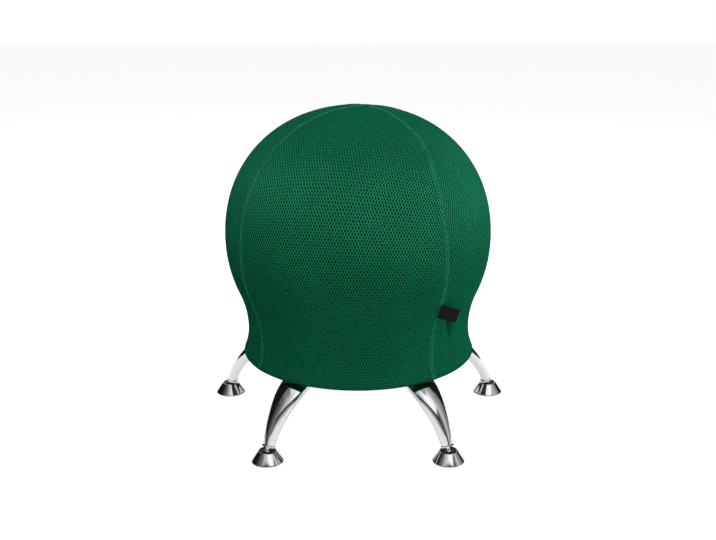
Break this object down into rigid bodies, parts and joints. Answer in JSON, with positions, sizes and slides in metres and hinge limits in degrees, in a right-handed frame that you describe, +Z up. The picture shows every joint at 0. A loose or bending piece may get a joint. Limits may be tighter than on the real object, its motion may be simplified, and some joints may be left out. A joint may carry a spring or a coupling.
{
  "type": "balance ball chair",
  "caption": "Backless active-sitting chair: an air-filled ball in a green mesh cover on arched chrome legs with tilting bell glides.",
  "frame": {"origin": "on the floor, under the middle of the chair's bounding box; the ball's upright axis stands 25.6 mm in front of it, towards -Y", "axes": "+Z up along the ball's upright axis, -Y towards the front between the two front legs, +X to the right as seen in the picture"},
  "size_m": [0.5674, 0.5424, 0.584],
  "materials": {
    "green_mesh": "green open knitted mesh over a darker green backing, matt, with tone-on-tone seams",
    "cord_rubber": "braided elastic cord, black, matt",
    "label_tape": "black woven tape, bare, matt",
    "ball_vinyl": "soft grey vinyl, slightly glossy",
    "plug_plastic": "natural white plastic",
    "pan_plastic": "moulded black plastic, fine grain",
    "black_nylon": "black nylon, satin",
    "pad_rubber": "dark rubber, matt",
    "chrome": "bright polished chrome plate",
    "zinc_steel": "zinc-plated steel, satin"
  },
  "bodies": {
    "stool": {"cover": "green_mesh", "hem_cord": "cord_rubber", "label_tab": "label_tape", "ball": "ball_vinyl", "valve_plug": "plug_plastic", "seat_pan": "pan_plastic", "pan_rim": "pan_plastic", "leg_front_right": "chrome", "foot_insert_front_right": "chrome", "leg_end_cap_front_right": "black_nylon", "glide_stem_front_right": "zinc_steel", "leg_bolt_front_right_1": "zinc_steel", "leg_bolt_front_right_2": "zinc_steel", "leg_side_right": "chrome", "foot_insert_side_right": "chrome", "leg_end_cap_side_right": "black_nylon", "glide_stem_side_right": "zinc_steel", "leg_bolt_side_right_1": "zinc_steel", "leg_bolt_side_right_2": "zinc_steel", "leg_back": "chrome", "foot_insert_back": "chrome", "leg_end_cap_back": "black_nylon", "glide_stem_back": "zinc_steel", "leg_bolt_back_1": "zinc_steel", "leg_bolt_back_2": "zinc_steel", "leg_side_left": "chrome", "foot_insert_side_left": "chrome", "leg_end_cap_side_left": "black_nylon", "glide_stem_side_left": "zinc_steel", "leg_bolt_side_left_1": "zinc_steel", "leg_bolt_side_left_2": "zinc_steel", "leg_front_left": "chrome", "foot_insert_front_left": "chrome", "leg_end_cap_front_left": "black_nylon", "glide_stem_front_left": "zinc_steel", "leg_bolt_front_left_1": "zinc_steel", "leg_bolt_front_left_2": "zinc_steel"},
    "socket_front_right": {"glide_socket_front_right": "black_nylon"},
    "foot_front_right": {"bell_front_right": "chrome", "floor_pad_front_right": "pad_rubber"},
    "socket_side_right": {"glide_socket_side_right": "black_nylon"},
    "foot_side_right": {"bell_side_right": "chrome", "floor_pad_side_right": "pad_rubber"},
    "socket_back": {"glide_socket_back": "black_nylon"},
    "foot_back": {"bell_back": "chrome", "floor_pad_back": "pad_rubber"},
    "socket_side_left": {"glide_socket_side_left": "black_nylon"},
    "foot_side_left": {"bell_side_left": "chrome", "floor_pad_side_left": "pad_rubber"},
    "socket_front_left": {"glide_socket_front_left": "black_nylon"},
    "foot_front_left": {"bell_front_left": "chrome", "floor_pad_front_left": "pad_rubber"}
  },
  "joints": [
    {"name": "tilt_front_right", "type": "hinge", "parent": "stool", "child": "socket_front_right", "pos_m": [0.15753, -0.24241, 0.017], "axis": [0.809, 0.5878, 0], "range_deg": [-42.6, 2.4]},
    {"name": "swivel_front_right", "type": "hinge", "parent": "socket_front_right", "child": "foot_front_right", "pos_m": [0.15753, -0.24241, 0.017], "axis": [0, 0, 1], "continuous": true},
    {"name": "tilt_side_right", "type": "hinge", "parent": "stool", "child": "socket_side_right", "pos_m": [0.25488, 0.05722, 0.017], "axis": [-0.309, 0.9511, 0], "range_deg": [-42.6, 2.4]},
    {"name": "swivel_side_right", "type": "hinge", "parent": "socket_side_right", "child": "foot_side_right", "pos_m": [0.25488, 0.05722, 0.017], "axis": [0, 0, 1], "continuous": true},
    {"name": "tilt_back", "type": "hinge", "parent": "stool", "child": "socket_back", "pos_m": [0, 0.24241, 0.017], "axis": [-1, 0, 0], "range_deg": [-42.6, 2.4]},
    {"name": "swivel_back", "type": "hinge", "parent": "socket_back", "child": "foot_back", "pos_m": [0, 0.24241, 0.017], "axis": [0, 0, 1], "continuous": true},
    {"name": "tilt_side_left", "type": "hinge", "parent": "stool", "child": "socket_side_left", "pos_m": [-0.25488, 0.05722, 0.017], "axis": [-0.309, -0.9511, 0], "range_deg": [-42.6, 2.4]},
    {"name": "swivel_side_left", "type": "hinge", "parent": "socket_side_left", "child": "foot_side_left", "pos_m": [-0.25488, 0.05722, 0.017], "axis": [0, 0, 1], "continuous": true},
    {"name": "tilt_front_left", "type": "hinge", "parent": "stool", "child": "socket_front_left", "pos_m": [-0.15753, -0.24241, 0.017], "axis": [0.809, -0.5878, 0], "range_deg": [-42.6, 2.4]},
    {"name": "swivel_front_left", "type": "hinge", "parent": "socket_front_left", "child": "foot_front_left", "pos_m": [-0.15753, -0.24241, 0.017], "axis": [0, 0, 1], "continuous": true}
  ]
}
